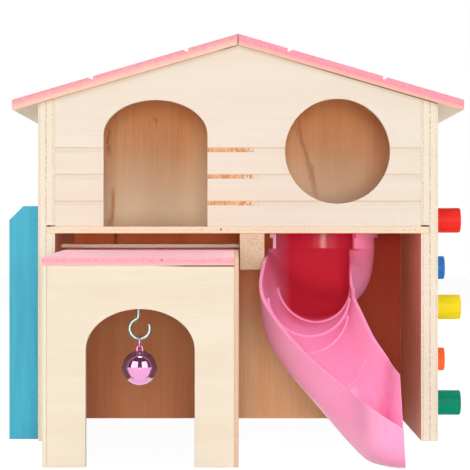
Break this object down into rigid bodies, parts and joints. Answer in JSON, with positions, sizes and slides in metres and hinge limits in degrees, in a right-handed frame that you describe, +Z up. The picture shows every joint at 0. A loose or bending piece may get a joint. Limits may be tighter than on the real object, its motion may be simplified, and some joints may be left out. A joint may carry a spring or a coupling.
{
  "type": "hamster house",
  "caption": "Two-storey wooden hamster house with a pitched pink roof, a porch with a hanging bell, a moulded plastic chute, side pegs and a ladder.",
  "frame": {"origin": "centre of the overall footprint, on the ground", "axes": "+X to the house's right seen from the front, +Y from the front to the back, +Z up"},
  "size_m": [0.2286, 0.2846, 0.2036],
  "materials": {
    "ply": "bare plywood, cut edges",
    "ply_back": "reddish bare veneer",
    "ply_face": "bare light veneer",
    "pine": "bare softwood",
    "pink_board": "pink paint over plywood",
    "blue_board": "blue paint over plywood",
    "red_peg": "red paint, satin",
    "yellow_peg": "yellow paint, satin",
    "green_peg": "green paint, satin",
    "blue_peg": "blue paint, satin",
    "orange_peg": "orange paint, satin",
    "zinc_wire": "zinc-plated wire",
    "bell_metal": "pink lacquer over bright plating",
    "clapper_steel": "bare steel",
    "pink_plastic": "glossy, slightly translucent"
  },
  "bodies": {
    "house": {"wall_left": "ply", "wall_right": "ply", "back_wall": "ply_back", "front_panel": "ply_face", "upper_floor": "ply_face", "floor_joist": "pine", "roof_left": "pink_board", "roof_right": "pink_board", "porch_front": "ply_face", "porch_side_left": "ply_face", "porch_side_right": "ply_face", "porch_roof": "pink_board", "porch_batten": "pine", "bell_hook": "zinc_wire", "peg_red": "red_peg", "peg_yellow": "yellow_peg", "peg_green": "green_peg", "peg_blue": "blue_peg", "peg_orange": "orange_peg", "chute": "pink_plastic", "ladder_rail_front": "blue_board", "ladder_rail_back": "blue_board", "ladder_rungs": "pine"},
    "link": {"bell_link": "zinc_wire"},
    "bell": {"bell_upper_shell": "bell_metal", "bell_lower_shell": "bell_metal", "bell_clapper": "clapper_steel"}
  },
  "joints": [
    {"name": "link_swing", "type": "hinge", "parent": "house", "child": "link", "pos_m": [-0.04305, -0.10868, 0.0567], "axis": [1, 0, 0], "range_deg": [-75, 75]},
    {"name": "bell_swing", "type": "hinge", "parent": "link", "child": "bell", "pos_m": [-0.04305, -0.10868, 0.05225], "axis": [0, 1, 0], "range_deg": [-60, 60]}
  ]
}
